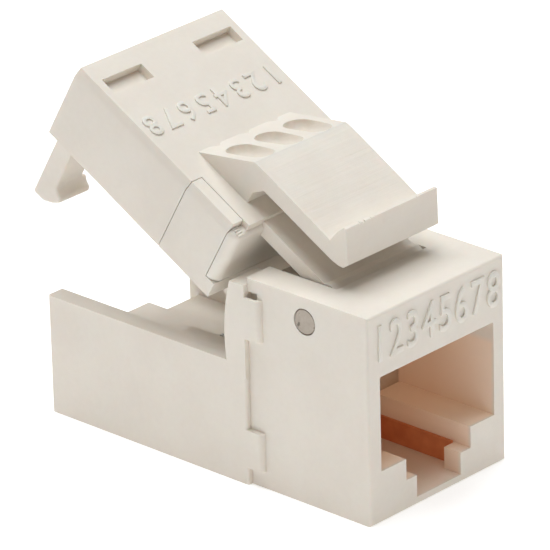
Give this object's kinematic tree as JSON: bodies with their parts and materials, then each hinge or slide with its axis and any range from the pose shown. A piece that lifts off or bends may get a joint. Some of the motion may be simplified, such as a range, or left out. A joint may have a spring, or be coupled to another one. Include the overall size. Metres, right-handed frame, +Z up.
{
  "type": "hinged keystone jack",
  "caption": "Keystone network jack with a modular plug port and a hinged wiring lid on a pin, held shut by rear catches, with a sprung tongue that snaps into a wall plate.",
  "frame": {"origin": "centre of the underside of the body, on the surface it stands on", "axes": "+Z up; +X to the right seen from the port; -Y out of the port, +Y towards the cable entry"},
  "size_m": [0.0154, 0.0337, 0.028],
  "materials": {
    "ivory_plastic": "fine satin moulded ABS, ivory",
    "carrier_plastic": "moulded PBT, tan",
    "liner_plastic": "moulded PBT, orange-red",
    "board": "glass-epoxy board with green solder mask",
    "blade_block_plastic": "moulded polycarbonate, pale",
    "pin_metal": "turned steel pin, dull nickel plate",
    "gold_contact": "gold-plated spring wire",
    "tinned_blade": "tinned phosphor bronze"
  },
  "bodies": {
    "housing": {"jack_housing": "ivory_plastic", "contact_carrier": "carrier_plastic", "tab_channel_liner": "liner_plastic", "circuit_board": "board", "base_cover": "ivory_plastic", "idc_block": "blade_block_plastic", "hinge_pin": "pin_metal", "port_numerals": "ivory_plastic", "plug_contact_1": "gold_contact", "plug_contact_2": "gold_contact", "plug_contact_3": "gold_contact", "plug_contact_4": "gold_contact", "plug_contact_5": "gold_contact", "plug_contact_6": "gold_contact", "plug_contact_7": "gold_contact", "plug_contact_8": "gold_contact", "idc_contact_1": "tinned_blade", "idc_contact_2": "tinned_blade", "idc_contact_3": "tinned_blade", "idc_contact_4": "tinned_blade", "idc_contact_5": "tinned_blade", "idc_contact_6": "tinned_blade", "idc_contact_7": "tinned_blade", "idc_contact_8": "tinned_blade"},
    "lid": {"lid_cover": "ivory_plastic", "wire_comb": "ivory_plastic"},
    "latch": {"latch_tongue": "ivory_plastic"},
    "left_catch": {"left_lid_catch": "ivory_plastic"},
    "right_catch": {"right_lid_catch": "ivory_plastic"}
  },
  "joints": [
    {"name": "lid_hinge", "type": "hinge", "parent": "housing", "child": "lid", "pos_m": [0, -0.00953, 0.01413], "axis": [1, 0, 0], "range_deg": [-29.5, 18.5]},
    {"name": "latch_flex", "type": "hinge", "parent": "lid", "child": "latch", "pos_m": [0, -0.00377, 0.02243], "axis": [1, 0, 0], "range_deg": [0, 9], "stiffness_Nm_per_rad": 0.02},
    {"name": "left_catch_flex", "type": "hinge", "parent": "lid", "child": "left_catch", "pos_m": [0, 0.014, 0.02189], "axis": [1, 0, 0], "range_deg": [0, 8], "stiffness_Nm_per_rad": 0.02},
    {"name": "right_catch_flex", "type": "hinge", "parent": "lid", "child": "right_catch", "pos_m": [0, 0.014, 0.02189], "axis": [1, 0, 0], "range_deg": [0, 8], "stiffness_Nm_per_rad": 0.02}
  ]
}
